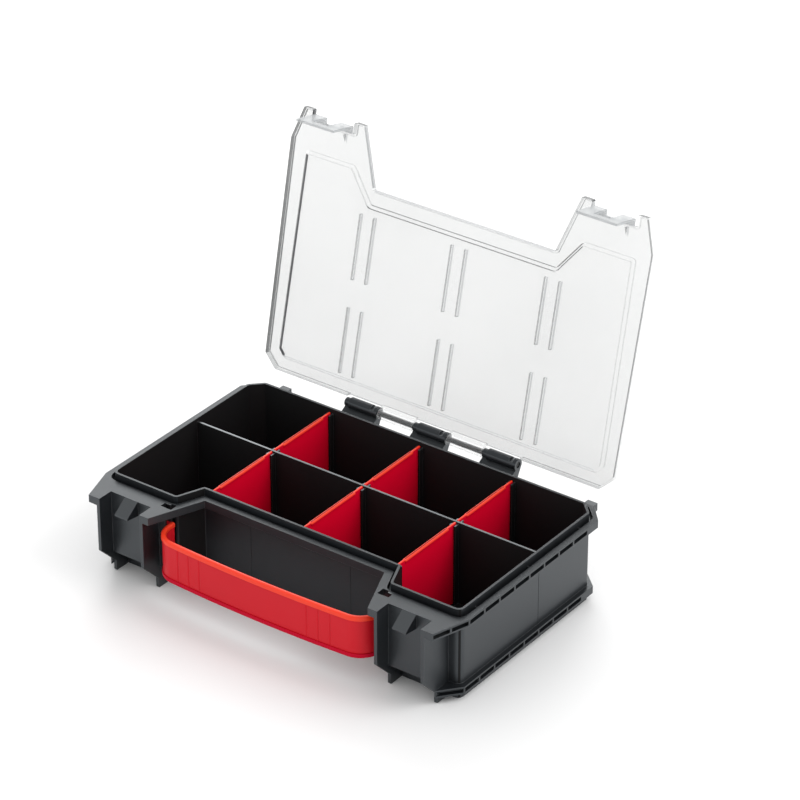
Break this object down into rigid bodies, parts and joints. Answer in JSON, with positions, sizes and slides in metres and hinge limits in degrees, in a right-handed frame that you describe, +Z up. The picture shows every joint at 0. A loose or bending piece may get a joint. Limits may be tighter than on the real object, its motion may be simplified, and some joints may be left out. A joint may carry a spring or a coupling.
{
  "type": "parts organizer",
  "caption": "Portable parts organizer: a low tray split into bins by lift-out dividers, with a clear hinged lid, springy snap clasps and a carrying handle across a front recess.",
  "frame": {"origin": "on the flat underside, below the middle of the tray", "axes": "+X to the right along the length, -Y towards the handle, +Z up"},
  "size_m": [0.31, 0.2519, 0.2683],
  "materials": {
    "black_plastic": "fine-textured black polypropylene, edges a little lighter",
    "red_plastic": "satin red polypropylene",
    "clear_plastic": "clear polished polycarbonate",
    "rod_plastic": "smooth dark rod"
  },
  "bodies": {
    "tray": {"tray": "black_plastic", "handle": "red_plastic", "hinge_rod": "rod_plastic"},
    "lid": {"lid": "clear_plastic"},
    "clasp_left": {"clasp_left": "clear_plastic"},
    "clasp_right": {"clasp_right": "clear_plastic"},
    "divider_front_left": {"divider_front_left": "red_plastic"},
    "divider_front_centre": {"divider_front_centre": "red_plastic"},
    "divider_front_right": {"divider_front_right": "red_plastic"},
    "divider_back_left": {"divider_back_left": "red_plastic"},
    "divider_back_centre": {"divider_back_centre": "red_plastic"},
    "divider_back_right": {"divider_back_right": "red_plastic"}
  },
  "joints": [
    {"name": "lid_hinge", "type": "hinge", "parent": "tray", "child": "lid", "pos_m": [0, 0.1025, 0.071], "axis": [-1, 0, 0], "range_deg": [-103, 0]},
    {"name": "clasp_left_flex", "type": "hinge", "parent": "lid", "child": "clasp_left", "pos_m": [-0.1182, 0.14669, 0.25754], "axis": [-1, 0, 0], "range_deg": [0, 25], "stiffness_Nm_per_rad": 0.05},
    {"name": "clasp_right_flex", "type": "hinge", "parent": "lid", "child": "clasp_right", "pos_m": [0.1182, 0.14669, 0.25754], "axis": [-1, 0, 0], "range_deg": [0, 25], "stiffness_Nm_per_rad": 0.05},
    {"name": "divider_front_left_lift", "type": "slide", "parent": "tray", "child": "divider_front_left", "axis": [0, 0, 1], "range_m": [0, 0.068]},
    {"name": "divider_front_centre_lift", "type": "slide", "parent": "tray", "child": "divider_front_centre", "axis": [0, 0, 1], "range_m": [0, 0.068]},
    {"name": "divider_front_right_lift", "type": "slide", "parent": "tray", "child": "divider_front_right", "axis": [0, 0, 1], "range_m": [0, 0.068]},
    {"name": "divider_back_left_lift", "type": "slide", "parent": "tray", "child": "divider_back_left", "axis": [0, 0, 1], "range_m": [0, 0.068]},
    {"name": "divider_back_centre_lift", "type": "slide", "parent": "tray", "child": "divider_back_centre", "axis": [0, 0, 1], "range_m": [0, 0.068]},
    {"name": "divider_back_right_lift", "type": "slide", "parent": "tray", "child": "divider_back_right", "axis": [0, 0, 1], "range_m": [0, 0.068]}
  ]
}
